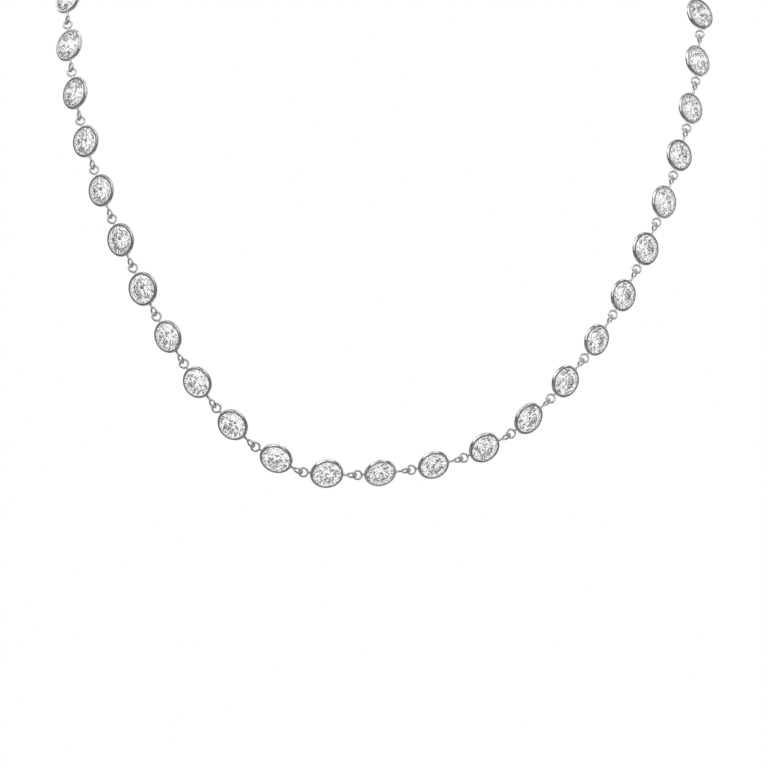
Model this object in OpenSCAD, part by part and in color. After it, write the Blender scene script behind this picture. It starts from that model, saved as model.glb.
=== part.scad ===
// Station necklace: round brilliant-cut stones in cup bezels, linked by soldered eyes.
// Millimetres. It keeps the form that it has when worn: +X to the viewer's right,
// the front towards -Y, +Z up. The origin is the point where it hangs on the nape.

/* [Necklace] */
// Length of the closed necklace along its centre line
necklace_length = 457; // [430:1:510]
// Number of bezel settings
setting_count = 41; // [37:1:45]
// Distance from the nape point, down the left side, to the first link
first_link = -1.7; // [-5:0.1:5]
// Largest difference of a stone and its bezel from the mean size, as a share
size_spread = 0.025; // [0:0.005:0.03]

/* [Drape] */
// Height of the nape above the lowest point, measured up the slope that it lies on
nape_rise = 153.5; // [140:0.5:165]
// Sideways place of the lowest point of the front
front_shift = -17.5; // [-20:0.5:0]
// Angle from the vertical of the slope under the front
front_slope = 28; // [15:1:35]
// Angle from the vertical of the slope under the nape
nape_slope = 58; // [50:1:70]
// Outward lean of the settings at the front
front_lean = 41; // [30:1:50]
// Outward lean of the settings at the nape
nape_lean = 40; // [30:1:60]
// How much more the left side leans out, and how much less the right side does
side_lean = 8; // [0:1:10]
// Largest difference of a setting's lean from the smooth run
lean_spread = 3; // [0:0.5:5]

/* [Stone] */
// Diameter of a stone at its girdle
stone_d = 5.75; // [5:0.05:6.2]
// Width of the flat table, as a share of the diameter
table_share = 0.57; // [0.52:0.01:0.62]
// Angle of the crown's main facets
crown_angle = 34.5; // [32:0.1:36]
// Angle of the pavilion's main facets
pavilion_angle = 40.8; // [40:0.1:42]
// Thickness of the girdle, as a share of the diameter
girdle_share = 0.03; // [0.02:0.005:0.04]

/* [Bezel] */
// Thickness of the wall round the stone
wall = 0.4; // [0.3:0.01:0.5]
// Height of the cup from its front lip to its back rim
cup_height = 1.2; // [1.1:0.05:1.8]
// How much smaller the back rim's radius is than the wall's
cup_taper = 0.6; // [0.4:0.05:0.65]
// How far the lip reaches over the edge of the stone
lip_cover = 0.1; // [0.08:0.01:0.2]
// Thickness of the lip
lip_thickness = 0.2; // [0.15:0.01:0.3]
// Free space between a stone and its bezel
stone_gap = 0.05; // [0.03:0.01:0.08]
// Height of the wall's straight band, at the middle of the girdle
band_height = 0.2; // [0.1:0.05:0.4]

/* [Links] */
// Outer diameter of a soldered eye
eye_d = 2.1; // [1.9:0.05:2.2]
// Diameter of the wire of an eye
eye_wire = 0.42; // [0.3:0.01:0.45]
// Free space between the wires of two eyes that interlock
link_gap = 0.15; // [0.12:0.01:0.18]
// Length of the neck between a bezel and the eye before it
near_neck = 0.3; // [0.1:0.05:0.5]
// Roll of the eye before each bezel about the chain
near_roll = -35; // [-60:5:-30]
// Roll of the eye after each bezel about the chain
far_roll = 25; // [10:5:45]

/* [Clasp] */
// Outer diameter of the spring ring
clasp_d = 5.2; // [4.8:0.1:6]
// Diameter of the spring ring's tube
clasp_tube = 0.9; // [0.8:0.05:1]
// Length of the neck between the clasp's eye and its ring
clasp_neck = 0.2; // [0.1:0.05:0.4]
// Diameter of the clasp's thumb knob
knob_d = 0.8; // [0.7:0.05:0.9]
// How far the thumb knob stands out of the tube
knob_reach = 0.9; // [0.7:0.05:1.1]
// Outer diameter of the catch ring
catch_d = 2.8; // [2.6:0.1:3.2]
// Diameter of the catch ring's wire
catch_wire = 0.4; // [0.35:0.01:0.45]

/* [Hidden] */
// Height up the slope, reach to the left and reach to the right of the draped line
UP = 0;
LEFT = 1;
RIGHT = 2;
drape = [
    [5.5, 38, 11.5],
    [32.5, 56, 38.5],
    [77.5, 68, 60],
    [119.5, 64, 63.5],
    [144, 42, 41],
];
rows = len(drape);
// Guide points in order: the nape, down the left side, the front, up the right side
guides = concat(
    [[0, nape_rise]],
    [for (k = [rows - 1:-1:0]) [-drape[k][LEFT], drape[k][UP]]],
    [[front_shift, 0]],
    [for (k = [0:rows - 1]) [drape[k][RIGHT], drape[k][UP]]]
);
guide_count = len(guides);
steps = 24;
sample_count = guide_count * steps;

// A smooth curve from b to c, where a and d are the points before and after them
function blend_point(a, b, c, d, t) =
    0.5 * (2 * b + (c - a) * t + (2 * a - 5 * b + 4 * c - d) * t * t + (3 * b - a - 3 * c + d) * t * t * t);

flat_line = [for (k = [0:guide_count - 1]) for (j = [0:steps - 1]) blend_point(
    guides[(k + guide_count - 1) % guide_count],
    guides[k],
    guides[(k + 1) % guide_count],
    guides[(k + 2) % guide_count],
    j / steps
)];

// The slope turns evenly from the front to the nape, so the line lies on part of a cylinder
slope_turn = nape_slope - front_slope;
slope_radius = nape_rise / (slope_turn * PI / 180);
function slope_at(up) = front_slope + slope_turn * up / nape_rise;
function on_slope(p) = [
    p[0],
    slope_radius * (cos(front_slope) - cos(slope_at(p[1]))),
    slope_radius * (sin(slope_at(p[1])) - sin(front_slope)),
];
nape_point = on_slope([0, nape_rise]);
raw_line = [for (k = [0:sample_count]) on_slope(flat_line[k % sample_count]) - nape_point];
raw_run = [
    for (
        k = 0, s = 0;
        k <= sample_count;
        s = s + (k < sample_count ? norm(raw_line[k + 1] - raw_line[k]) : 0), k = k + 1
    )
        s
];
size = necklace_length / raw_run[sample_count];

// One row for each sample: its distance from the nape along the line, and what is looked up there
function run_table(values) = [for (k = [0:sample_count]) [raw_run[k] * size, values[k]]];
x_table = run_table([for (p = raw_line) p[0] * size]);
y_table = run_table([for (p = raw_line) p[1] * size]);
z_table = run_table([for (p = raw_line) p[2] * size]);
up_table = run_table([for (k = [0:sample_count]) flat_line[k % sample_count][1]]);

function along(s) = s - necklace_length * floor(s / necklace_length);
function place_at(s) = [lookup(along(s), x_table), lookup(along(s), y_table), lookup(along(s), z_table)];
function up_at(s) = lookup(along(s), up_table);

// Eyes and links
eye_r = (eye_d - eye_wire) / 2;
eye_offset = eye_r - (eye_wire + link_gap) / 2;
eye_reach = eye_offset + eye_d / 2;
// A neck is wider where the solder runs onto its bezel, and bites into the wall
solder_d = 1.8 * eye_wire;
bite = 0.8 * wall;

// The clasp runs from the last link to the catch ring, and the catch ring to the first link
clasp_r = (clasp_d - clasp_tube) / 2;
catch_r = (catch_d - catch_wire) / 2;
knob_turn = 60;
clasp_run = eye_reach + clasp_neck + clasp_d - clasp_tube - link_gap / 2;
catch_offset = catch_r - (catch_wire + link_gap) / 2;
catch_run = 2 * catch_offset;
pitch = (necklace_length - clasp_run - catch_run) / setting_count;
function link_at(i) = first_link + (i - 1) * pitch;
catch_at = link_at(setting_count + 1) + clasp_run;

function unit(v) = v / norm(v);
// Unevenness from setting to setting, between -1 and 1: each run has its own turn from one to the next
gauge_turn = 79;
lean_turn = 140;
function uneven(i, turn) = sin(turn * i);
function gauge(i) = 1 + size_spread * uneven(i, gauge_turn);
function side_at(s) = sin(360 * s / necklace_length);
function lean_at(s) =
    front_lean + (nape_lean - front_lean) * up_at(s) / nape_rise + side_lean * side_at(s);

// The matrix of a piece that spans from s to e: its X runs along the chain and its Z is its face
function span_matrix(s, e, extra_lean) =
    let (
        from = place_at(s),
        ahead = unit(place_at(e) - from),
        slope = slope_at(up_at((s + e) / 2)),
        lifted = [0, -cos(slope), sin(slope)],
        outward = unit(cross(ahead, lifted)),
        upward = cross(outward, ahead),
        lean = lean_at((s + e) / 2) + extra_lean,
        face = upward * cos(lean) + outward * sin(lean),
        across = cross(face, ahead)
    )
    [
        for (k = [0:2]) [ahead[k], across[k], face[k], from[k]],
        [0, 0, 0, 1],
    ];
function span_length(s, e) = norm(place_at(e) - place_at(s));

// Stone
stone_r = stone_d / 2;
girdle_half = girdle_share * stone_d / 2;
table_r = table_share * stone_r;
table_z = girdle_half + (stone_r - table_r) * tan(crown_angle);
star_share = 0.8;
star_r = star_share * stone_r;
star_z = table_z - (star_r * cos(22.5) - table_r) * tan(crown_angle);
upper_slope = (star_z - girdle_half) / (stone_r - star_r);
half_share = 0.24;
lower_r = half_share * stone_r;
lower_z = -girdle_half - (stone_r - lower_r * cos(22.5)) * tan(pavilion_angle);
culet_z = -girdle_half - stone_r * tan(pavilion_angle);

// Bezel
bezel_r = stone_r + stone_gap + wall;
bezel_in = stone_r + stone_gap;
lip_r = stone_r - lip_cover;
lip_under = girdle_half + lip_cover * upper_slope + stone_gap;
lip_top = lip_under + lip_thickness;
lip_bevel = 0.18;
lip_ease = 0.06;
cup_back = lip_top - cup_height;
band_half = band_height / 2;
back_r = bezel_r - cup_taper;
back_in = back_r - wall;
seat_z = -girdle_half - stone_gap;
seat_low = seat_z - (bezel_in - back_in) * tan(pavilion_angle);

GOLD = [0.86, 0.86, 0.87];
DIAMOND = [0.93, 0.96, 0.99];
function setting_name(i) = str("setting_", i < 10 ? "0" : "", i);

// Puts a piece whose front end is at the link point s, and which spans to e, on the chain
module on_chain(s, e, extra_lean = 0) {
    multmatrix(span_matrix(s, e, extra_lean)) children();
}

// Puts the centre of setting i's stone at the origin
module at_setting(i) {
    on_chain(link_at(i), link_at(i + 1), lean_spread * uneven(i, lean_turn))
        translate([eye_reach + near_neck + bezel_r * gauge(i), 0, 0])
            children();
}

// A ring of round wire that lies in XY, turned about the chain by roll
module wire_ring(centre_r, wire_d, roll) {
    rotate([roll, 0, 0])
        rotate_extrude($fn = 48)
            translate([centre_r, 0])
                circle(d = wire_d, $fn = 24);
}

// The tapered solder joint between x = from and x = to
module neck(from, to, d_from, d_to) {
    translate([from, 0, 0])
        rotate([0, 90, 0])
            cylinder(h = to - from, d1 = d_from, d2 = d_to, $fn = 24);
}

// The open cup: a lip over the stone's edge, a straight band, a seat and a tapered back
module bezel() {
    rotate_extrude($fn = 96)
        polygon([
            [lip_r, lip_under],
            [lip_r, lip_top - lip_ease],
            [lip_r + lip_ease, lip_top],
            [bezel_r - lip_bevel, lip_top],
            [bezel_r, band_half],
            [bezel_r, -band_half],
            [back_r, cup_back],
            [back_in, cup_back],
            [back_in, seat_low],
            [bezel_in, seat_z],
            [bezel_in, girdle_half + stone_gap],
        ]);
}

// A bezel with an eye soldered on at each end, which the neighbours' eyes pass through
module setting(i) {
    outer_r = bezel_r * gauge(i);
    near_eye = -outer_r - near_neck - eye_d / 2;
    far_eye = span_length(link_at(i), link_at(i + 1)) - eye_reach - near_neck - outer_r - eye_offset;
    color(GOLD)
        at_setting(i) {
            scale(gauge(i)) bezel();
            translate([near_eye, 0, 0]) wire_ring(eye_r, eye_wire, near_roll);
            neck(near_eye + eye_r, -outer_r + bite, eye_wire, solder_d);
            translate([far_eye, 0, 0]) wire_ring(eye_r, eye_wire, far_roll);
            neck(outer_r - bite, far_eye - eye_r, solder_d, eye_wire);
        }
}

// Points of the stone at radius r and height z, every turn degrees from start
function ring_points(r, z, start, turn) =
    [for (a = [start:turn:start + 359]) [r * cos(a), r * sin(a), z]];

// A round brilliant: a table, 8 star, 8 kite, 16 upper, 16 girdle, 16 lower and 8 main facets
module brilliant() {
    table = 0;
    star = 8;
    upper = 16;
    lower = 32;
    half = 48;
    culet = 56;
    points = concat(
        ring_points(table_r, table_z, 0, 45),
        ring_points(star_r, star_z, 22.5, 45),
        ring_points(stone_r, girdle_half, 0, 22.5),
        ring_points(stone_r, -girdle_half, 0, 22.5),
        ring_points(lower_r, lower_z, 22.5, 45),
        [[0, 0, culet_z]]
    );
    faces = concat(
        [[for (k = [7:-1:0]) table + k]],
        [for (k = [0:7]) [table + k, table + (k + 1) % 8, star + k]],
        [for (k = [0:7]) [table + k, star + k, upper + 2 * k, star + (k + 7) % 8]],
        [for (k = [0:7]) [star + k, upper + 2 * k + 1, upper + 2 * k]],
        [for (k = [0:7]) [star + k, upper + (2 * k + 2) % 16, upper + 2 * k + 1]],
        [for (k = [0:15]) [upper + k, upper + (k + 1) % 16, lower + (k + 1) % 16, lower + k]],
        [for (k = [0:7]) [half + k, lower + 2 * k, lower + 2 * k + 1]],
        [for (k = [0:7]) [half + k, lower + 2 * k + 1, lower + (2 * k + 2) % 16]],
        [for (k = [0:7]) [culet, half + (k + 7) % 8, lower + 2 * k, half + k]]
    );
    polyhedron(points, faces);
}

// Every stone, each in its own bezel
module stones() {
    color(DIAMOND)
        for (i = [1:setting_count])
            at_setting(i)
                scale(gauge(i))
                    brilliant();
}

// A plain spring ring with its soldered eye and its thumb knob
module clasp() {
    ring_x = eye_reach + clasp_neck + clasp_d / 2;
    color(GOLD)
        on_chain(link_at(setting_count + 1), catch_at) {
            translate([eye_offset, 0, 0]) wire_ring(eye_r, eye_wire, near_roll);
            neck(eye_offset + eye_r, ring_x - clasp_r, eye_wire, clasp_tube / 2);
            translate([ring_x, 0, 0]) {
                wire_ring(clasp_r, clasp_tube, 0);
                rotate([0, 0, knob_turn])
                    translate([clasp_r, 0, 0])
                        rotate([0, 90, 0])
                            cylinder(h = clasp_tube / 2 + knob_reach, d = knob_d, $fn = 24);
            }
        }
}

// The ring that joins the clasp to the first setting
module catch_ring() {
    color(GOLD)
        on_chain(catch_at, catch_at + catch_run)
            translate([catch_offset, 0, 0])
                wire_ring(catch_r, catch_wire, 90);
}

for (i = [1:setting_count]) setting(i);
stones();
clasp();
catch_ring();
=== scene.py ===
# Station necklace: round brilliant-cut stones in polished cup bezels, linked by soldered eyes.

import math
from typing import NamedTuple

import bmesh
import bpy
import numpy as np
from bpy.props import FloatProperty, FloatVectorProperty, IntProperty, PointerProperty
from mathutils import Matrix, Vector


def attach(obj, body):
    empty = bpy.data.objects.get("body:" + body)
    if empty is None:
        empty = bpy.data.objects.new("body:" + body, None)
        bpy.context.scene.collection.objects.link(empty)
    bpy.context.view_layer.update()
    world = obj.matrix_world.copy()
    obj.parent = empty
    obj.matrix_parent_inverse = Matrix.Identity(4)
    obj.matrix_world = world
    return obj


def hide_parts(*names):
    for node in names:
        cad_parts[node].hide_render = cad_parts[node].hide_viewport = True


bl_info = {
    "name": "Station Necklace",
    "version": (1, 0, 0),
    "blender": (4, 5, 0),
    "location": "View3D > Sidebar > Necklace",
    "description": "Dresses the necklace's frame with bezels, eyes, cut stones, a clasp and a stage",
    "category": "Add Mesh",
}

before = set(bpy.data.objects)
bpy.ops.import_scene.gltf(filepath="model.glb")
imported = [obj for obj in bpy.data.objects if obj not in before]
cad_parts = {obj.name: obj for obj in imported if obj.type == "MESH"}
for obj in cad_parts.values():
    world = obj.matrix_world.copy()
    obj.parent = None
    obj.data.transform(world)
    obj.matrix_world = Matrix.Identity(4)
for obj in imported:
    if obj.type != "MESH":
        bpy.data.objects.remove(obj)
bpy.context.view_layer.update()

MM = 0.001
SAME_POINT = 0.0001 * MM
SAME_HEIGHT = 0.001 * MM
BODY = "root"
GOLD_SLOT = "white_gold"
GOLD_FINISH = "polished_white_gold"
DIAMOND_FINISH = "cut_diamond"
SETTINGS = sorted(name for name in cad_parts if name.startswith("setting_"))
STONE_GAP = 0.05 * MM

# Half the girdle's height as a share of the stone's radius, and the slope of the facets below it
HALF_GIRDLE = 0.03
PAVILION_ANGLE = math.radians(40.8)

# Width of the bevel outside the lip, and height of the slope inside it
LIP_BEVEL = 0.16 * MM
LIP_SLOPE = 0.09 * MM

# How deep a solder neck starts in its wall, as a share of the wall, and how fast its flare falls off
NECK_DEPTH = 0.8
FLARE_POWER = 2.5

# Cosine over which two normals belong to one facet
SAME_PLANE = 0.9999

# Share of a stone's largest radius over which a vertex is on the girdle
ON_GIRDLE = 0.999

# How many stone radii from the axis a setting's vertices are still inside its cup
CUP_REACH = 1.1

# Corners that turn by less than this aren't rounded
NEARLY_STRAIGHT = math.radians(3)

# Bounces of light in and through the stones, and off the metal
STONE_BOUNCES = 24
METAL_BOUNCES = 16

# The camera's sensor, and how near and how far it sees in metres
SENSOR_WIDTH_MM = 36.0
CLIP_START = 0.01
CLIP_END = 20.0

# Flat sides round the floor and the backdrop
STAGE_SIDES = 64


# Where each piece sits, read from the frame

class Station(NamedTuple):
    """A stone's middle, axes and radius, its bezel's radius, top and back, and how far the eyes reach"""
    centre: np.ndarray
    axes: np.ndarray
    radius: float
    bezel_radius: float
    bezel_top: float
    bezel_back: float
    near_reach: float
    far_reach: float


def node_points(name):
    """The vertices of a CAD node and its triangles' corners."""
    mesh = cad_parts[name].data
    points = np.array([v.co for v in mesh.vertices])
    mesh.calc_loop_triangles()
    corners = np.array([t.vertices for t in mesh.loop_triangles])
    return points, corners


def unit(vector):
    """The vector at length 1."""
    return vector / np.linalg.norm(vector)


def table_normal(triangles):
    """The outward normal of the stone's largest flat facet."""
    crosses = np.cross(triangles[:, 1] - triangles[:, 0], triangles[:, 2] - triangles[:, 0])
    areas = np.linalg.norm(crosses, axis=1)
    crosses = crosses[areas > 0]
    areas = areas[areas > 0]
    normals = crosses / areas[:, None]
    same_plane = normals @ normals.T > SAME_PLANE
    return unit(normals[np.argmax(same_plane @ areas)])


def read_station(triangles, setting_points, chain_direction):
    """One stone's place, from its triangles and from the setting round it."""
    points = triangles.reshape(-1, 3)
    face = table_normal(triangles)
    heights = points @ face
    culet = points[np.argmin(heights)]
    from_axis = points - culet - np.outer((points - culet) @ face, face)
    radii = np.linalg.norm(from_axis, axis=1)
    girdle = radii > ON_GIRDLE * radii.max()
    top = heights[girdle].max()
    bottom = heights[girdle].min()
    centre = culet + face * ((top + bottom) / 2 - culet @ face)
    corners = from_axis[heights > heights.max() - SAME_HEIGHT]
    ahead = unit(corners[np.argmax(corners @ chain_direction)])
    axes = np.column_stack([ahead, np.cross(face, ahead), face])
    along, across, up = ((setting_points - centre) @ axes).T
    bezel_heights = up[np.hypot(along, across) < CUP_REACH * radii.max()]
    return Station(
        centre=centre,
        axes=axes,
        radius=radii.max(),
        bezel_radius=np.abs(across).max(),
        bezel_top=bezel_heights.max(),
        bezel_back=bezel_heights.min(),
        near_reach=-along.min(),
        far_reach=along.max(),
    )


def read_stations():
    """Every station in order along the chain."""
    points, corners = node_points("stones")
    triangles = points[corners]
    setting_points = [node_points(name)[0] for name in SETTINGS]
    middles = np.array([(p.min(0) + p.max(0)) / 2 for p in setting_points])
    gaps = np.linalg.norm(triangles.mean(1)[:, None] - middles[None], axis=2)
    owner = gaps.argmin(1)
    count = len(SETTINGS)
    stations = []
    for i in range(count):
        before = middles[max(i - 1, 0)]
        after = middles[min(i + 1, count - 1)]
        stations.append(read_station(triangles[owner == i], setting_points[i], after - before))
    return stations


STATIONS = read_stations()
MEAN_RADIUS = float(np.mean([s.radius for s in STATIONS]))


def usual(measure):
    """The measure of a station whose stone has the mean radius."""
    return float(np.mean([getattr(s, measure) / s.radius for s in STATIONS])) * MEAN_RADIUS


# Sizes and colours that a user would change

class BezelSizes(bpy.types.PropertyGroup):
    """Sizes of a bezel that holds a stone of the mean diameter"""
    wall: FloatProperty(
        name="Wall", description="Thickness of the wall round the stone",
        default=usual("bezel_radius") - MEAN_RADIUS - STONE_GAP, min=0.0, unit="LENGTH")
    stone_gap: FloatProperty(
        name="Stone gap", description="Free space between the stone and the bezel",
        default=STONE_GAP, min=0.0, unit="LENGTH")
    height: FloatProperty(
        name="Height", description="Height of the cup from the lip to the back rim",
        default=usual("bezel_top") - usual("bezel_back"), min=0.0, unit="LENGTH")
    taper: FloatProperty(
        name="Taper", description="How much smaller the back rim's radius is",
        default=0.6 * MM, min=0.0, unit="LENGTH")
    lip_cover: FloatProperty(
        name="Lip cover", description="How far the lip reaches over the edge of the stone",
        default=0.1 * MM, min=0.0, unit="LENGTH")
    lip_thickness: FloatProperty(
        name="Lip thickness", description="Thickness of the lip over the stone's edge",
        default=0.2 * MM, min=0.0, unit="LENGTH")
    lip_top: FloatProperty(
        name="Lip top", description="Height of the lip's top above the middle of the girdle",
        default=usual("bezel_top"), min=0.0, unit="LENGTH")
    band: FloatProperty(
        name="Band", description="Height of the wall's straight band",
        default=0.2 * MM, min=0.0, unit="LENGTH")
    segments: IntProperty(
        name="Segments", description="Flat sides round each bezel", default=56, min=12)


class EyeSizes(bpy.types.PropertyGroup):
    """Sizes of the soldered eyes and of their necks"""
    diameter: FloatProperty(
        name="Diameter", description="Outer diameter of an eye",
        default=2.1 * MM, min=0.0, unit="LENGTH")
    wire: FloatProperty(
        name="Wire", description="Diameter of the wire of an eye",
        default=0.42 * MM, min=0.0, unit="LENGTH")
    link_gap: FloatProperty(
        name="Link gap", description="Free space between two wires that interlock",
        default=0.15 * MM, min=0.0, unit="LENGTH")
    near_roll: FloatProperty(
        name="Near roll", description="Turn of the eye before a bezel about the chain",
        default=math.radians(-35), subtype="ANGLE")
    far_roll: FloatProperty(
        name="Far roll", description="Turn of the eye after a bezel about the chain",
        default=math.radians(25), subtype="ANGLE")
    solder: FloatProperty(
        name="Solder", description="Diameter of the solder where a neck meets its bezel",
        default=0.76 * MM, min=0.0, unit="LENGTH")
    ring_sides: IntProperty(
        name="Ring sides", description="Flat sides round each eye", default=36, min=8)
    wire_sides: IntProperty(
        name="Wire sides", description="Flat sides round the wire of an eye", default=10, min=4)
    neck_rings: IntProperty(
        name="Neck rings", description="Rings along each neck, with both ends", default=9, min=2)
    neck_sides: IntProperty(
        name="Neck sides", description="Flat sides round each neck", default=12, min=4)


class ClaspSizes(bpy.types.PropertyGroup):
    """Sizes of the spring ring and of the ring that it opens onto"""
    diameter: FloatProperty(
        name="Diameter", description="Outer diameter of the spring ring",
        default=5.2 * MM, min=0.0, unit="LENGTH")
    tube: FloatProperty(
        name="Tube", description="Diameter of the spring ring's tube",
        default=0.9 * MM, min=0.0, unit="LENGTH")
    bolt: FloatProperty(
        name="Bolt", description="Diameter of the sprung bolt that closes the ring",
        default=0.64 * MM, min=0.0, unit="LENGTH")
    bolt_start: FloatProperty(
        name="Bolt start", description="Where the bolt leaves the tube, as an angle round the ring",
        default=math.radians(82), subtype="ANGLE")
    bolt_end: FloatProperty(
        name="Bolt end", description="Where the bolt enters the tube, as an angle round the ring",
        default=math.radians(128), subtype="ANGLE")
    knob_angle: FloatProperty(
        name="Knob angle", description="Where the thumb knob stands, as an angle round the ring",
        default=math.radians(60), subtype="ANGLE")
    knob: FloatProperty(
        name="Knob", description="Diameter of the thumb knob",
        default=0.8 * MM, min=0.0, unit="LENGTH")
    knob_reach: FloatProperty(
        name="Knob reach", description="How far the thumb knob stands out of the tube",
        default=0.9 * MM, min=0.0, unit="LENGTH")
    catch_diameter: FloatProperty(
        name="Catch diameter", description="Outer diameter of the catch ring",
        default=2.8 * MM, min=0.0, unit="LENGTH")
    catch_wire: FloatProperty(
        name="Catch wire", description="Diameter of the catch ring's wire",
        default=0.4 * MM, min=0.0, unit="LENGTH")
    tube_rings: IntProperty(
        name="Tube rings", description="Rings along the spring ring's tube", default=46, min=8)
    bolt_rings: IntProperty(
        name="Bolt rings", description="Rings along the bolt", default=8, min=2)
    tube_sides: IntProperty(
        name="Tube sides", description="Flat sides round the tube, the bolt and the knob",
        default=20, min=6)
    catch_sides: IntProperty(
        name="Catch sides", description="Flat sides round the catch ring", default=48, min=8)
    catch_wire_sides: IntProperty(
        name="Catch wire sides", description="Flat sides round the catch ring's wire", default=16, min=4)


class Finishes(bpy.types.PropertyGroup):
    """Colours and polish"""
    gold: FloatVectorProperty(
        name="White gold", description="Colour of the polished white gold",
        default=(0.80, 0.80, 0.80), subtype="COLOR", min=0.0, max=1.0)
    gold_roughness: FloatProperty(
        name="Polish", description="Roughness of the polished metal", default=0.1, min=0.0, max=1.0)
    diamond: FloatVectorProperty(
        name="Diamond", description="Body colour of the stones",
        default=(1.0, 1.0, 1.0), subtype="COLOR", min=0.0, max=1.0)
    diamond_ior: FloatProperty(
        name="Diamond IOR", description="Refractive index of the stones", default=2.417, min=1.0)


class StageSettings(bpy.types.PropertyGroup):
    """The camera and the studio"""
    azimuth: FloatProperty(
        name="Azimuth", description="Turn of the camera towards -X from straight ahead",
        default=math.radians(11), subtype="ANGLE")
    elevation: FloatProperty(
        name="Elevation", description="Height of the camera above the horizon, as an angle",
        default=math.radians(22), subtype="ANGLE")
    distance: FloatProperty(
        name="Distance", description="From the camera to the point that it looks at",
        default=0.9, min=0.1, unit="LENGTH")
    lens: FloatProperty(
        name="Lens", description="Focal length in millimetres on a full frame sensor",
        default=213.1, min=1.0)
    target: FloatVectorProperty(
        name="Target", description="The point that the camera looks at",
        default=(-14.0 * MM, -101.75 * MM, -92.05 * MM), subtype="TRANSLATION")
    paper: FloatVectorProperty(
        name="Paper", description="Colour of the floor and the backdrop",
        default=(1.0, 1.0, 1.0), subtype="COLOR", min=0.0, max=1.0)
    floor_radius: FloatProperty(
        name="Floor radius", description="Radius of the round floor",
        default=3.0, min=0.1, unit="LENGTH")
    floor_height: FloatProperty(
        name="Floor height", description="Height of the floor, which lies below the necklace",
        default=-0.5, max=0.0, unit="LENGTH")
    backdrop_radius: FloatProperty(
        name="Backdrop radius", description="Radius of the sphere that closes the stage",
        default=3.5, min=0.1, unit="LENGTH")


class NecklaceSettings(bpy.types.PropertyGroup):
    """All settings of the necklace"""
    bezel: PointerProperty(type=BezelSizes)
    eye: PointerProperty(type=EyeSizes)
    clasp: PointerProperty(type=ClaspSizes)
    finish: PointerProperty(type=Finishes)
    stage: PointerProperty(type=StageSettings)


# Places on a station and on the clasp

def rolled(axes, angle):
    """The axes turned about the chain."""
    return axes @ np.array(Matrix.Rotation(angle, 3, "X"))


def about_face(axes):
    """The axes turned so that X points back along the chain."""
    return axes @ np.diag([-1.0, -1.0, 1.0])


def eye_offset(eye):
    """From the point where two eyes meet to the middle of one of them."""
    return (eye.diameter - eye.wire) / 2 - (eye.wire + eye.link_gap) / 2


def near_eye_centre(station, eye):
    """The middle of the eye before the bezel."""
    return station.centre - station.axes[:, 0] * (station.near_reach - eye.diameter / 2)


def far_eye_centre(station, eye):
    """The middle of the eye after the bezel."""
    return station.centre + station.axes[:, 0] * (station.far_reach - eye.diameter / 2)


def flat_normal(points):
    """The direction in which points spread least."""
    return np.linalg.eigh(np.cov((points - points.mean(0)).T))[1][:, 0]


def flat_axes(ahead, face):
    """Axes whose Z is the face and whose X is as near as it can be to ahead."""
    ahead = unit(ahead - face * (ahead @ face))
    return np.column_stack([ahead, np.cross(face, ahead), face])


class ClaspPlace(NamedTuple):
    """Where the spring ring, the eye that is soldered to it and the catch ring sit"""
    axes: np.ndarray
    ring_centre: np.ndarray
    eye_centre: np.ndarray
    catch_axes: np.ndarray
    catch_centre: np.ndarray


def read_clasp(eye, clasp):
    """The clasp lies between the last station's link point and the catch ring."""
    first = STATIONS[0]
    last = STATIONS[-1]
    offset = eye_offset(eye)
    last_link = far_eye_centre(last, eye) + last.axes[:, 0] * offset
    first_link = near_eye_centre(first, eye) - first.axes[:, 0] * offset
    catch_points = node_points("catch_ring")[0]
    catch_centre = (catch_points.min(0) + catch_points.max(0)) / 2
    clasp_end = 2 * catch_centre - first_link
    ahead = unit(clasp_end - last_link)
    clasp_points = node_points("clasp")[0]
    beyond_eye = (clasp_points - last_link) @ ahead > eye.diameter + clasp.tube
    face = flat_normal(clasp_points[beyond_eye])
    if face @ last.axes[:, 2] < 0:
        face = -face
    axes = flat_axes(ahead, face)
    reach = ((clasp_points - last_link) @ axes[:, 0]).max()
    return ClaspPlace(
        axes=axes,
        ring_centre=last_link + axes[:, 0] * (reach - clasp.diameter / 2),
        eye_centre=last_link + axes[:, 0] * offset,
        catch_axes=flat_axes(first_link - clasp_end, flat_normal(catch_points)),
        catch_centre=catch_centre,
    )


# Materials

def new_material(name):
    """An empty node material with an output and a Principled shader."""
    material = bpy.data.materials.new(name)
    material.use_nodes = True
    nodes = material.node_tree.nodes
    nodes.clear()
    output = nodes.new("ShaderNodeOutputMaterial")
    shader = nodes.new("ShaderNodeBsdfPrincipled")
    material.node_tree.links.new(shader.outputs["BSDF"], output.inputs["Surface"])
    return material, shader


def noise(material, scale, detail=2.0):
    """A noise on Object coordinates, whose scale is per metre."""
    nodes = material.node_tree.nodes
    links = material.node_tree.links
    place = nodes.new("ShaderNodeTexCoord")
    texture = nodes.new("ShaderNodeTexNoise")
    texture.inputs["Scale"].default_value = scale
    texture.inputs["Detail"].default_value = detail
    links.new(place.outputs["Object"], texture.inputs["Vector"])
    return texture.outputs["Fac"]


def map_range(material, value, low, high):
    """Maps a 0 to 1 value to the range from low to high."""
    node = material.node_tree.nodes.new("ShaderNodeMapRange")
    node.inputs["To Min"].default_value = low
    node.inputs["To Max"].default_value = high
    material.node_tree.links.new(value, node.inputs["Value"])
    return node.outputs["Result"]


def bump(material, height, distance, strength, normal=None):
    """A bump whose full height is distance, in metres."""
    node = material.node_tree.nodes.new("ShaderNodeBump")
    node.inputs["Strength"].default_value = strength
    node.inputs["Distance"].default_value = distance
    material.node_tree.links.new(height, node.inputs["Height"])
    if normal is not None:
        material.node_tree.links.new(normal, node.inputs["Normal"])
    return node.outputs["Normal"]


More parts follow.
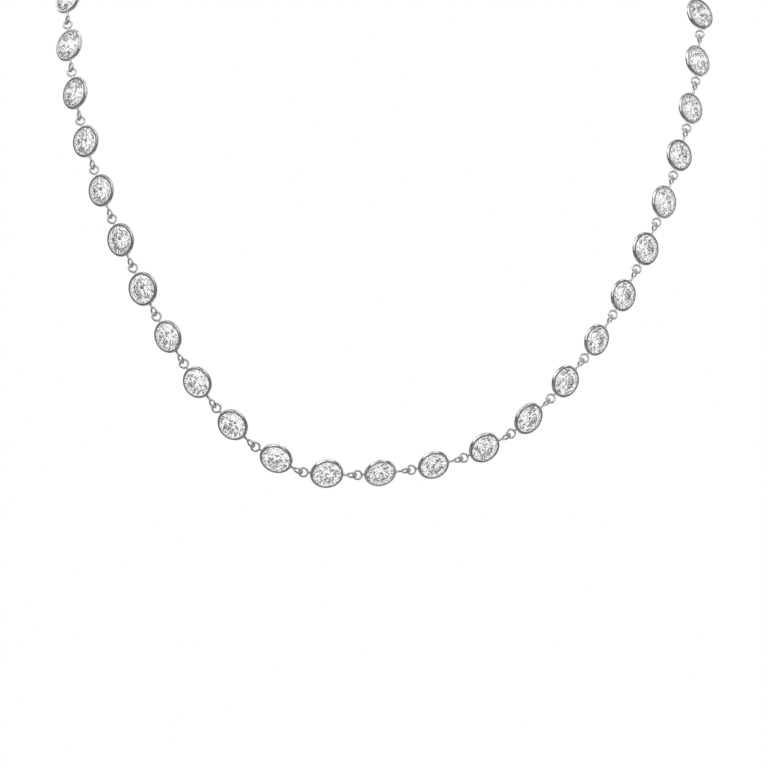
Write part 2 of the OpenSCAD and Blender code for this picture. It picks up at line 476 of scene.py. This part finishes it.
def gold_material(finish):
    """Polished white gold: soft hand-burnished waves under fine polishing marks."""
    smears_per_metre = 1800
    waves_per_metre = 500
    marks_per_metre = 9000
    wave_height = 0.02 * MM
    mark_height = 0.002 * MM
    best_polish = 0.5 * finish.gold_roughness
    worst_polish = 1.6 * finish.gold_roughness
    material, shader = new_material(GOLD_FINISH)
    shader.inputs["Metallic"].default_value = 1.0
    shader.inputs["Base Color"].default_value = (*finish.gold, 1.0)
    links = material.node_tree.links
    smears = noise(material, smears_per_metre, detail=3.0)
    links.new(map_range(material, smears, best_polish, worst_polish), shader.inputs["Roughness"])
    waves = bump(material, noise(material, waves_per_metre), wave_height, strength=0.4)
    marks = bump(material, noise(material, marks_per_metre), mark_height, strength=0.5, normal=waves)
    links.new(marks, shader.inputs["Normal"])
    return material


def diamond_material(finish):
    """Colourless diamond with a trace of polish haze."""
    hazes_per_metre = 2500
    most_haze = 0.02
    material, shader = new_material(DIAMOND_FINISH)
    shader.inputs["Base Color"].default_value = (*finish.diamond, 1.0)
    shader.inputs["Transmission Weight"].default_value = 1.0
    shader.inputs["IOR"].default_value = finish.diamond_ior
    haze = map_range(material, noise(material, hazes_per_metre), 0.0, most_haze)
    material.node_tree.links.new(haze, shader.inputs["Roughness"])
    return material


def paper_material(name, colour):
    """A self-lit plain surface, for the floor and the backdrop."""
    material = bpy.data.materials.new(name)
    material.use_nodes = True
    nodes = material.node_tree.nodes
    nodes.clear()
    output = nodes.new("ShaderNodeOutputMaterial")
    glow = nodes.new("ShaderNodeEmission")
    glow.inputs["Color"].default_value = (*colour, 1.0)
    material.node_tree.links.new(glow.outputs["Emission"], output.inputs["Surface"])
    return material


def shared_material(name, make, finish):
    """The material of that name, made once."""
    return bpy.data.materials.get(name) or make(finish)


# Meshes

class Corner(NamedTuple):
    """A corner of a turned outline: its radius, its height and the radius of the arc that rounds it"""
    radius: float
    height: float
    rounding: float = 0.0


def rounded_profile(corners, steps=4):
    """A closed outline of radius and height, whose corners are replaced by arcs."""
    outline = []
    places = [np.array((c.radius, c.height)) for c in corners]
    count = len(corners)
    for i in range(count):
        corner = places[i]
        rounding = corners[i].rounding
        to_last = unit(places[i - 1] - corner)
        to_next = unit(places[(i + 1) % count] - corner)
        half = math.acos(max(-1.0, min(1.0, float(to_last @ to_next)))) / 2
        if rounding == 0 or math.pi / 2 - half < NEARLY_STRAIGHT:
            outline.append(corner)
            continue
        middle = corner + unit(to_last + to_next) * rounding / math.sin(half)
        start = corner + to_last * rounding / math.tan(half)
        end = corner + to_next * rounding / math.tan(half)
        sweep = math.pi - 2 * half
        for k in range(steps + 1):
            part = k / steps
            a = math.sin((1 - part) * sweep) / math.sin(sweep)
            b = math.sin(part * sweep) / math.sin(sweep)
            outline.append(middle + (start - middle) * a + (end - middle) * b)
    return np.array(outline)


def turned_mesh(name, outline, segments, closed=True):
    """The outline turned about Z. One that isn't closed starts and ends on the axis."""
    work = bmesh.new()
    corners = [work.verts.new((r, 0.0, z)) for r, z in outline]
    pairs = list(zip(corners, corners[1:]))
    if closed:
        pairs.append((corners[-1], corners[0]))
    edges = [work.edges.new(pair) for pair in pairs]
    bmesh.ops.spin(
        work, geom=corners + edges, cent=(0, 0, 0), axis=(0, 0, 1), angle=2 * math.pi, steps=segments)
    bmesh.ops.remove_doubles(work, verts=work.verts, dist=SAME_POINT)
    mesh = bpy.data.meshes.new(name)
    work.to_mesh(mesh)
    work.free()
    outward(mesh)
    return mesh


def outward(mesh):
    """Points every face of a closed mesh outwards and shades it smooth."""
    work = bmesh.new()
    work.from_mesh(mesh)
    bmesh.ops.recalc_face_normals(work, faces=work.faces)
    work.to_mesh(mesh)
    work.free()
    mesh.shade_smooth()


def added(name, data):
    """A new object of the data, linked to the scene."""
    obj = bpy.data.objects.new(name, data)
    bpy.context.scene.collection.objects.link(obj)
    return obj


def placed(name, mesh, axes, centre, material):
    """An object of the mesh, whose place is put into its vertices."""
    place = Matrix(axes.tolist()).to_4x4()
    place.translation = Vector(centre)
    mesh.transform(place)
    mesh.name = name
    mesh.materials.append(material)
    return added(name, mesh)


def points_object(name, places, turns, stretches=None):
    """A mesh of bare points that say where copies go, how they turn and how they stretch, if they do."""
    if stretches is None:
        stretches = [(1.0, 1.0, 1.0)] * len(places)
    mesh = bpy.data.meshes.new(name)
    mesh.from_pydata([tuple(p) for p in places], [], [])
    quaternions = [tuple(Matrix(axes.tolist()).to_quaternion()) for axes in turns]
    turn = mesh.attributes.new("turn", "QUATERNION", "POINT")
    turn.data.foreach_set("value", np.array(quaternions).ravel())
    stretch = mesh.attributes.new("stretch", "FLOAT_VECTOR", "POINT")
    stretch.data.foreach_set("vector", np.array(stretches, float).ravel())
    return added(name, mesh)


# Geometry Nodes

def new_tree(name, inputs):
    """A tree with a geometry in and out and the named inputs."""
    tree = bpy.data.node_groups.new(name, "GeometryNodeTree")
    tree.is_modifier = True
    tree.interface.new_socket("Geometry", in_out="INPUT", socket_type="NodeSocketGeometry")
    tree.interface.new_socket("Geometry", in_out="OUTPUT", socket_type="NodeSocketGeometry")
    for label, kind in inputs:
        tree.interface.new_socket(label, in_out="INPUT", socket_type=kind)
    return tree, tree.nodes.new("NodeGroupInput"), tree.nodes.new("NodeGroupOutput")


def copies_on_points(tree, entry, leave, piece):
    """Puts the piece, a geometry output, on each point, and ends the tree in a plain mesh."""
    nodes = tree.nodes
    links = tree.links
    turn = nodes.new("GeometryNodeInputNamedAttribute")
    turn.data_type = "QUATERNION"
    turn.inputs["Name"].default_value = "turn"
    stretch = nodes.new("GeometryNodeInputNamedAttribute")
    stretch.data_type = "FLOAT_VECTOR"
    stretch.inputs["Name"].default_value = "stretch"
    place = nodes.new("GeometryNodeInstanceOnPoints")
    plain = nodes.new("GeometryNodeRealizeInstances")
    dress = nodes.new("GeometryNodeSetMaterial")
    links.new(entry.outputs["Geometry"], place.inputs["Points"])
    links.new(piece, place.inputs["Instance"])
    links.new(turn.outputs["Attribute"], place.inputs["Rotation"])
    links.new(stretch.outputs["Attribute"], place.inputs["Scale"])
    links.new(place.outputs["Instances"], plain.inputs["Geometry"])
    links.new(plain.outputs["Geometry"], dress.inputs["Geometry"])
    links.new(entry.outputs["Material"], dress.inputs["Material"])
    links.new(dress.outputs["Geometry"], leave.inputs["Geometry"])


def bezel_tree():
    """Copies of a modelled bezel."""
    tree, entry, leave = new_tree(
        "Bezels on stations", [("Bezel", "NodeSocketObject"), ("Material", "NodeSocketMaterial")])
    source = tree.nodes.new("GeometryNodeObjectInfo")
    tree.links.new(entry.outputs["Bezel"], source.inputs["Object"])
    copies_on_points(tree, entry, leave, source.outputs["Geometry"])
    return tree


def ring_tree():
    """Round wire rings that lie in each point's XY."""
    tree, entry, leave = new_tree("Wire rings", [
        ("Ring Radius", "NodeSocketFloat"),
        ("Wire Radius", "NodeSocketFloat"),
        ("Ring Sides", "NodeSocketInt"),
        ("Wire Sides", "NodeSocketInt"),
        ("Material", "NodeSocketMaterial"),
    ])
    ring = tree.nodes.new("GeometryNodeCurvePrimitiveCircle")
    wire = tree.nodes.new("GeometryNodeCurvePrimitiveCircle")
    sweep = tree.nodes.new("GeometryNodeCurveToMesh")
    tree.links.new(entry.outputs["Ring Radius"], ring.inputs["Radius"])
    tree.links.new(entry.outputs["Ring Sides"], ring.inputs["Resolution"])
    tree.links.new(entry.outputs["Wire Radius"], wire.inputs["Radius"])
    tree.links.new(entry.outputs["Wire Sides"], wire.inputs["Resolution"])
    tree.links.new(ring.outputs["Curve"], sweep.inputs["Curve"])
    tree.links.new(wire.outputs["Curve"], sweep.inputs["Profile Curve"])
    copies_on_points(tree, entry, leave, sweep.outputs["Mesh"])
    return tree


def neck_tree():
    """Solder necks along each point's X that flare at their start, one metre long before they stretch."""
    tree, entry, leave = new_tree("Solder necks", [
        ("Solder Radius", "NodeSocketFloat"),
        ("Wire Radius", "NodeSocketFloat"),
        ("Rings", "NodeSocketInt"),
        ("Wire Sides", "NodeSocketInt"),
        ("Material", "NodeSocketMaterial"),
    ])
    nodes = tree.nodes
    links = tree.links
    line = nodes.new("GeometryNodeCurvePrimitiveLine")
    line.inputs["End"].default_value = (1.0, 0.0, 0.0)
    resample = nodes.new("GeometryNodeResampleCurve")
    along = nodes.new("GeometryNodeSplineParameter")
    remain = nodes.new("ShaderNodeMath")
    remain.operation = "SUBTRACT"
    remain.inputs[0].default_value = 1.0
    flare = nodes.new("ShaderNodeMath")
    flare.operation = "POWER"
    flare.inputs[1].default_value = FLARE_POWER
    radius = nodes.new("ShaderNodeMix")
    widen = nodes.new("GeometryNodeSetCurveRadius")
    profile = nodes.new("GeometryNodeCurvePrimitiveCircle")
    profile.inputs["Radius"].default_value = 1.0
    sweep = nodes.new("GeometryNodeCurveToMesh")
    sweep.inputs["Fill Caps"].default_value = True
    links.new(line.outputs["Curve"], resample.inputs["Curve"])
    links.new(entry.outputs["Rings"], resample.inputs["Count"])
    links.new(along.outputs["Factor"], remain.inputs[1])
    links.new(remain.outputs["Value"], flare.inputs[0])
    links.new(flare.outputs["Value"], radius.inputs["Factor"])
    links.new(entry.outputs["Wire Radius"], radius.inputs["A"])
    links.new(entry.outputs["Solder Radius"], radius.inputs["B"])
    links.new(resample.outputs["Curve"], widen.inputs["Curve"])
    links.new(radius.outputs["Result"], widen.inputs["Radius"])
    links.new(entry.outputs["Wire Sides"], profile.inputs["Resolution"])
    links.new(widen.outputs["Curve"], sweep.inputs["Curve"])
    links.new(profile.outputs["Curve"], sweep.inputs["Profile Curve"])
    links.new(radius.outputs["Result"], sweep.inputs["Scale"])
    copies_on_points(tree, entry, leave, sweep.outputs["Mesh"])
    return tree


def grown(name, points, tree, values):
    """Runs the tree on the points and keeps the result as a plain mesh object of that name."""
    modifier = points.modifiers.new("Grow", "NODES")
    modifier.node_group = tree
    for item in tree.interface.items_tree:
        if item.item_type == "SOCKET" and item.in_out == "INPUT" and item.name in values:
            modifier[item.identifier] = values[item.name]
    depsgraph = bpy.context.evaluated_depsgraph_get()
    mesh = bpy.data.meshes.new_from_object(points.evaluated_get(depsgraph), depsgraph=depsgraph)
    points.modifiers.remove(modifier)
    bpy.data.objects.remove(points)
    mesh.name = name
    outward(mesh)
    if not mesh.polygons:
        raise RuntimeError(f"the tree {tree.name!r} made no faces for {name!r}")
    return added(name, mesh)


def fit_to_frame(piece, slot, *nodes):
    """The piece rides on the necklace's one body and stands for the nodes, which it hides. The slot is not
    used.
    """
    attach(piece, BODY)
    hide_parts(*nodes)


# Pieces

def bezel_outline(bezel):
    """The section of a bezel round a stone of the mean radius, from under the lip over the outside."""
    inner = MEAN_RADIUS + bezel.stone_gap
    outer = inner + bezel.wall
    lip_inner = MEAN_RADIUS - bezel.lip_cover
    lip_under = bezel.lip_top - bezel.lip_thickness
    back = bezel.lip_top - bezel.height
    back_outer = outer - bezel.taper
    back_inner = back_outer - bezel.wall
    seat = -HALF_GIRDLE * MEAN_RADIUS - bezel.stone_gap
    seat_low = seat - (inner - back_inner) * math.tan(PAVILION_ANGLE)
    return rounded_profile([
        Corner(lip_inner, lip_under),
        Corner(lip_inner, bezel.lip_top, rounding=0.08 * MM),
        Corner(outer - LIP_BEVEL, bezel.lip_top, rounding=0.12 * MM),
        Corner(outer, bezel.band / 2, rounding=0.1 * MM),
        Corner(outer, -bezel.band / 2, rounding=0.2 * MM),
        Corner(back_outer, back, rounding=0.09 * MM),
        Corner(back_inner, back, rounding=0.09 * MM),
        Corner(back_inner, seat_low),
        Corner(inner, seat),
        Corner(inner, lip_under - LIP_SLOPE),
    ])


class NECKLACE_OT_bezels(bpy.types.Operator):
    """Put a polished cup bezel round every stone"""
    bl_idname = "necklace.bezels"
    bl_label = "Add Bezels"

    def execute(self, context):
        settings = context.scene.necklace
        gold = shared_material(GOLD_FINISH, gold_material, settings.finish)
        mesh = turned_mesh("one_bezel", bezel_outline(settings.bezel), settings.bezel.segments)
        sample = added("one_bezel", mesh)
        points = points_object(
            "stations",
            [s.centre for s in STATIONS],
            [s.axes for s in STATIONS],
            [[s.radius / MEAN_RADIUS] * 3 for s in STATIONS],
        )
        bezels = grown("bezels", points, bezel_tree(), {"Bezel": sample, "Material": gold})
        bpy.data.objects.remove(sample)
        fit_to_frame(bezels, GOLD_SLOT, *SETTINGS)
        return {"FINISHED"}


def neck_start(centre, axes, wall_r, reach, eye):
    """A solder neck's start, axes and length: from inside a wall to the middle of its eye's wire."""
    length = reach - eye.diameter + eye.wire / 2 - wall_r
    return centre + axes[:, 0] * wall_r, axes, length


def neck_starts(settings, clasp):
    """The start, axes and length of every solder neck: two for each bezel, and the clasp's."""
    eye = settings.eye
    starts = []
    for s in STATIONS:
        wall_r = s.bezel_radius - NECK_DEPTH * settings.bezel.wall
        starts.append(neck_start(s.centre, about_face(s.axes), wall_r, s.near_reach, eye))
        starts.append(neck_start(s.centre, s.axes, wall_r, s.far_reach, eye))
    tube_middle_r = (settings.clasp.diameter - settings.clasp.tube) / 2
    clasp_reach = np.linalg.norm(clasp.ring_centre - clasp.eye_centre) + eye.diameter / 2
    starts.append(neck_start(clasp.ring_centre, about_face(clasp.axes), tube_middle_r, clasp_reach, eye))
    return starts


def eye_places(eye, clasp):
    """The middle and axes of every eye: two for each bezel, and the clasp's."""
    places = [(near_eye_centre(s, eye), rolled(s.axes, eye.near_roll)) for s in STATIONS]
    places += [(far_eye_centre(s, eye), rolled(s.axes, eye.far_roll)) for s in STATIONS]
    places.append((clasp.eye_centre, rolled(clasp.axes, eye.near_roll)))
    return places


class NECKLACE_OT_eyes(bpy.types.Operator):
    """Solder an eye to each side of every bezel and one to the clasp"""
    bl_idname = "necklace.eyes"
    bl_label = "Add Soldered Eyes"

    def execute(self, context):
        settings = context.scene.necklace
        eye = settings.eye
        gold = shared_material(GOLD_FINISH, gold_material, settings.finish)
        clasp = read_clasp(eye, settings.clasp)
        places = eye_places(eye, clasp)
        points = points_object(
            "eye_points", [centre for centre, _ in places], [axes for _, axes in places])
        eyes = grown("eyes", points, ring_tree(), {
            "Ring Radius": (eye.diameter - eye.wire) / 2,
            "Wire Radius": eye.wire / 2,
            "Ring Sides": eye.ring_sides,
            "Wire Sides": eye.wire_sides,
            "Material": gold,
        })
        fit_to_frame(eyes, GOLD_SLOT, *SETTINGS, "clasp")

        starts = neck_starts(settings, clasp)
        points = points_object(
            "neck_points", [start for start, _, _ in starts], [axes for _, axes, _ in starts],
            [[length, 1.0, 1.0] for _, _, length in starts])
        necks = grown("necks", points, neck_tree(), {
            "Solder Radius": eye.solder / 2,
            "Wire Radius": eye.wire / 2,
            "Rings": eye.neck_rings,
            "Wire Sides": eye.neck_sides,
            "Material": gold,
        })
        fit_to_frame(necks, GOLD_SLOT, *SETTINGS, "clasp")
        return {"FINISHED"}


class NECKLACE_OT_stones(bpy.types.Operator):
    """Give the cut stones their diamond"""
    bl_idname = "necklace.stones"
    bl_label = "Finish Stones"

    def execute(self, context):
        diamond = shared_material(DIAMOND_FINISH, diamond_material, context.scene.necklace.finish)
        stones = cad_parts["stones"]
        stones.data.materials.clear()
        stones.data.materials.append(diamond)
        return {"FINISHED"}


def spring_ring_mesh(clasp):
    """A ring of tube round Z with a thinner bolt across its opening."""
    ring_r = (clasp.diameter - clasp.tube) / 2
    tube_r = clasp.tube / 2
    bolt_r = clasp.bolt / 2
    sides = clasp.tube_sides
    full = 2 * math.pi
    tube_start = clasp.bolt_end
    tube_end = clasp.bolt_start + full
    bevel = 0.16 * tube_r
    turn = bevel / ring_r
    mid = 0.3
    rim = [(0.0, bolt_r), (0.0, tube_r - bevel), (mid * turn, tube_r - mid * bevel), (turn, tube_r)]
    tube = np.linspace(tube_start + turn, tube_end - turn, clasp.tube_rings)[1:-1]
    bolt = np.linspace(tube_end, tube_start + full, clasp.bolt_rings)[1:-1]
    sections = [(tube_start + along, radius) for along, radius in rim]
    sections += [(angle, tube_r) for angle in tube]
    sections += [(tube_end - along, radius) for along, radius in reversed(rim)]
    sections += [(angle, bolt_r) for angle in bolt]
    work = bmesh.new()
    loops = []
    for angle, radius in sections:
        loop = []
        for k in range(sides):
            around = full * k / sides
            out = ring_r + radius * math.cos(around)
            up = radius * math.sin(around)
            loop.append(work.verts.new((out * math.cos(angle), out * math.sin(angle), up)))
        loops.append(loop)
    for here, there in zip(loops, loops[1:] + loops[:1]):
        for k in range(sides):
            after = (k + 1) % sides
            work.faces.new((here[k], there[k], there[after], here[after]))
    mesh = bpy.data.meshes.new("spring_ring")
    work.to_mesh(mesh)
    work.free()
    outward(mesh)
    return mesh


def knob_mesh(clasp):
    """A thumb knob on its stem, along Z from the middle of the tube."""
    top = clasp.tube / 2 + clasp.knob_reach
    knob_r = clasp.knob / 2
    stem_r = 0.65 * knob_r
    stem_top = 0.55 * top
    shoulder_r = 0.9 * knob_r
    shoulder = 0.62 * top
    crown = 0.7 * top
    crown_steps = 6
    outline = [(0.0, 0.0), (stem_r, 0.0), (stem_r, stem_top), (shoulder_r, shoulder), (knob_r, crown)]
    for k in range(1, crown_steps):
        angle = math.pi / 2 * k / crown_steps
        outline.append((knob_r * math.cos(angle), crown + (top - crown) * math.sin(angle)))
    outline.append((0.0, top))
    return turned_mesh("clasp_knob", outline, clasp.tube_sides, closed=False)


class NECKLACE_OT_clasp(bpy.types.Operator):
    """Close the necklace with a spring ring and its catch ring"""
    bl_idname = "necklace.clasp"
    bl_label = "Add Clasp"

    def execute(self, context):
        settings = context.scene.necklace
        clasp = settings.clasp
        gold = shared_material(GOLD_FINISH, gold_material, settings.finish)
        place = read_clasp(settings.eye, clasp)
        ring = placed("spring_ring", spring_ring_mesh(clasp), place.axes, place.ring_centre, gold)
        fit_to_frame(ring, GOLD_SLOT, "clasp")

        ring_r = (clasp.diameter - clasp.tube) / 2
        face = place.axes[:, 2]
        outwards = place.axes @ np.array([math.cos(clasp.knob_angle), math.sin(clasp.knob_angle), 0.0])
        knob_axes = np.column_stack([face, np.cross(outwards, face), outwards])
        knob_centre = place.ring_centre + outwards * ring_r
        knob = placed("clasp_knob", knob_mesh(clasp), knob_axes, knob_centre, gold)
        fit_to_frame(knob, GOLD_SLOT, "clasp")

        points = points_object("catch_point", [place.catch_centre], [place.catch_axes])
        catch = grown("connector_ring", points, ring_tree(), {
            "Ring Radius": (clasp.catch_diameter - clasp.catch_wire) / 2,
            "Wire Radius": clasp.catch_wire / 2,
            "Ring Sides": clasp.catch_sides,
            "Wire Sides": clasp.catch_wire_sides,
            "Material": gold,
        })
        fit_to_frame(catch, GOLD_SLOT, "catch_ring")
        return {"FINISHED"}


# Stage

def math_node(tree, operation, first, second):
    """A maths node on two sockets or numbers."""
    node = tree.nodes.new("ShaderNodeMath")
    node.operation = operation
    for socket, value in zip(node.inputs, (first, second)):
        if isinstance(value, (int, float)):
            socket.default_value = value
        else:
            tree.links.new(value, socket)
    return node.outputs["Value"]


def grey_steps(tree, value, stops, interpolation):
    """Turns a 0 to 1 value into greys: each stop is a value and a grey."""
    ramp = tree.nodes.new("ShaderNodeValToRGB")
    ramp.color_ramp.interpolation = interpolation
    elements = ramp.color_ramp.elements
    while len(elements) < len(stops):
        elements.new(0.5)
    for element, (place, grey) in zip(elements, stops):
        element.position = place
        element.color = (grey, grey, grey, 1.0)
    tree.links.new(value, ramp.inputs["Fac"])
    return ramp.outputs["Color"]


def zero_to_one(tree, value):
    """Maps a value from -1 to 1 to the range from 0 to 1."""
    return math_node(tree, "MULTIPLY", math_node(tree, "ADD", value, 1.0), 0.5)


def facing(tree, direction, middle):
    """How near a direction is to a middle one: 1 along it, 0 against it."""
    product = tree.nodes.new("ShaderNodeVectorMath")
    product.operation = "DOT_PRODUCT"
    product.inputs[1].default_value = unit(np.array(middle))
    tree.links.new(direction, product.inputs[0])
    return zero_to_one(tree, product.outputs["Value"])


def studio_room(tree, direction):
    """What the metal reflects: dim walls, a bright patchy ceiling, a banner up at each side, and a card."""
    wall_greys = [(0.0, 0.45), (0.2, 0.16), (0.42, 0.2), (0.52, 0.12), (0.72, 0.16)]
    softbox_greys = [(0.44, 0.15), (0.54, 1.1)]
    overhead_greys = [(0.74, 0.0), (0.86, 1.0)]
    banner_greys = [(0.04, 0.0), (0.12, 1.0), (0.28, 0.0), (0.64, 0.0), (0.74, 0.7), (0.84, 0.0)]
    upper_greys = [(0.5, 0.0), (0.62, 1.0)]
    card_greys = [(0.86, 0.0), (0.94, 0.8)]
    card_middle = (0.88, 0.4, -0.2)
    patch_scale = 1.8
    patch_detail = 1.0
    split = tree.nodes.new("ShaderNodeSeparateXYZ")
    tree.links.new(direction, split.inputs["Vector"])
    width = zero_to_one(tree, split.outputs["X"])
    height = zero_to_one(tree, split.outputs["Z"])
    patches = tree.nodes.new("ShaderNodeTexNoise")
    patches.inputs["Scale"].default_value = patch_scale
    patches.inputs["Detail"].default_value = patch_detail
    tree.links.new(direction, patches.inputs["Vector"])
    walls = grey_steps(tree, height, wall_greys, "EASE")
    softbox = grey_steps(tree, patches.outputs["Fac"], softbox_greys, "EASE")
    overhead = grey_steps(tree, height, overhead_greys, "EASE")
    banners = grey_steps(tree, width, banner_greys, "EASE")
    upper = grey_steps(tree, height, upper_greys, "EASE")
    card = grey_steps(tree, facing(tree, direction, card_middle), card_greys, "EASE")
    ceiling = math_node(tree, "MULTIPLY", softbox, overhead)
    sides = math_node(tree, "MULTIPLY", banners, upper)
    lights = math_node(tree, "ADD", ceiling, sides)
    return math_node(tree, "ADD", walls, math_node(tree, "ADD", lights, card))


def studio_tent(tree, direction, towards_camera):
    """What shines through the stones: a white tent with grey panels, most of them round the camera."""
    panel_scale = 2.3
    panel_lift = 0.32
    crowd_greys = [(0.5, 0.03), (0.78, 0.06), (0.86, 0.44), (0.94, 0.46), (0.99, 0.2)]
    tent_greys = [(0.0, 0.08), (0.14, 0.22), (0.44, 1.2)]
    panels = tree.nodes.new("ShaderNodeTexVoronoi")
    panels.inputs["Scale"].default_value = panel_scale
    tree.links.new(direction, panels.inputs["Vector"])
    shade = tree.nodes.new("ShaderNodeSeparateColor")
    tree.links.new(panels.outputs["Color"], shade.inputs["Color"])
    crowd = grey_steps(tree, facing(tree, direction, towards_camera), crowd_greys, "LINEAR")
    lifted = math_node(tree, "ADD", shade.outputs["Red"], panel_lift)
    return grey_steps(tree, math_node(tree, "SUBTRACT", lifted, crowd), tent_greys, "CONSTANT")


def studio_world(name, towards_camera):
    """A studio with one surrounding that the metal reflects and another that shines through the stones."""
    world = bpy.data.worlds.new(name)
    world.use_nodes = True
    tree = world.node_tree
    nodes = tree.nodes
    links = tree.links
    nodes.clear()
    place = nodes.new("ShaderNodeTexCoord")
    direction = place.outputs["Generated"]
    ray = nodes.new("ShaderNodeLightPath")
    pick = nodes.new("ShaderNodeMix")
    pick.data_type = "RGBA"
    a, b = [socket for socket in pick.inputs if socket.enabled and socket.name in "AB"]
    result = [socket for socket in pick.outputs if socket.enabled][0]
    links.new(ray.outputs["Is Transmission Ray"], pick.inputs["Factor"])
    links.new(studio_room(tree, direction), a)
    links.new(studio_tent(tree, direction, towards_camera), b)
    sky = nodes.new("ShaderNodeBackground")
    output = nodes.new("ShaderNodeOutputWorld")
    links.new(result, sky.inputs["Color"])
    links.new(sky.outputs["Background"], output.inputs["Surface"])
    return world


def camera_only(obj):
    """Keeps a stage piece out of reflections, refractions and shadows."""
    obj.visible_glossy = False
    obj.visible_diffuse = False
    obj.visible_transmission = False
    obj.visible_shadow = False


class NECKLACE_OT_stage(bpy.types.Operator):
    """Add the camera, the floor, the backdrop and the studio around them"""
    bl_idname = "necklace.stage"
    bl_label = "Set Stage"

    def execute(self, context):
        scene = context.scene
        stage = scene.necklace.stage
        target = Vector(stage.target)

        camera_data = bpy.data.cameras.new("camera")
        camera_data.lens = stage.lens
        camera_data.sensor_width = SENSOR_WIDTH_MM
        camera_data.clip_start = CLIP_START
        camera_data.clip_end = CLIP_END
        camera = added("camera", camera_data)
        look = Vector((
            math.sin(stage.azimuth) * math.cos(stage.elevation),
            math.cos(stage.azimuth) * math.cos(stage.elevation),
            -math.sin(stage.elevation),
        ))
        camera.location = target - look * stage.distance
        camera.rotation_euler = look.to_track_quat("-Z", "Y").to_euler()
        scene.camera = camera

        paper = paper_material("paper", stage.paper)
        bpy.ops.mesh.primitive_circle_add(
            vertices=STAGE_SIDES, radius=stage.floor_radius, fill_type="NGON",
            location=(0.0, 0.0, stage.floor_height))
        floor = context.active_object
        floor.name = "floor"
        bpy.ops.mesh.primitive_uv_sphere_add(
            segments=STAGE_SIDES, ring_count=STAGE_SIDES // 2, radius=stage.backdrop_radius)
        backdrop = context.active_object
        backdrop.name = "backdrop"
        for piece in (floor, backdrop):
            piece.data.materials.append(paper)
            camera_only(piece)

        scene.world = studio_world("studio", -look)

        scene.cycles.max_bounces = STONE_BOUNCES
        scene.cycles.transmission_bounces = STONE_BOUNCES
        scene.cycles.glossy_bounces = METAL_BOUNCES
        scene.view_settings.view_transform = "Standard"
        return {"FINISHED"}


class NECKLACE_PT_panel(bpy.types.Panel):
    """Lists the steps in the order in which they run"""
    bl_label = "Station Necklace"
    bl_idname = "NECKLACE_PT_panel"
    bl_space_type = "VIEW_3D"
    bl_region_type = "UI"
    bl_category = "Necklace"

    def draw(self, context):
        column = self.layout.column()
        for step in STEPS:
            column.operator(step.bl_idname)


GROUPS = (BezelSizes, EyeSizes, ClaspSizes, Finishes, StageSettings, NecklaceSettings)
STEPS = (NECKLACE_OT_stage, NECKLACE_OT_bezels, NECKLACE_OT_eyes, NECKLACE_OT_stones, NECKLACE_OT_clasp)
CLASSES = (*GROUPS, *STEPS, NECKLACE_PT_panel)


def register():
    for cls in CLASSES:
        bpy.utils.register_class(cls)
    bpy.types.Scene.necklace = PointerProperty(type=NecklaceSettings)


def unregister():
    del bpy.types.Scene.necklace
    for cls in reversed(CLASSES):
        bpy.utils.unregister_class(cls)


def main():
    """Adds the panel and runs its steps on the frame."""
    register()
    bpy.ops.necklace.stage()
    bpy.ops.necklace.bezels()
    bpy.ops.necklace.eyes()
    bpy.ops.necklace.stones()
    bpy.ops.necklace.clasp()


if __name__ == "__main__":
    main()
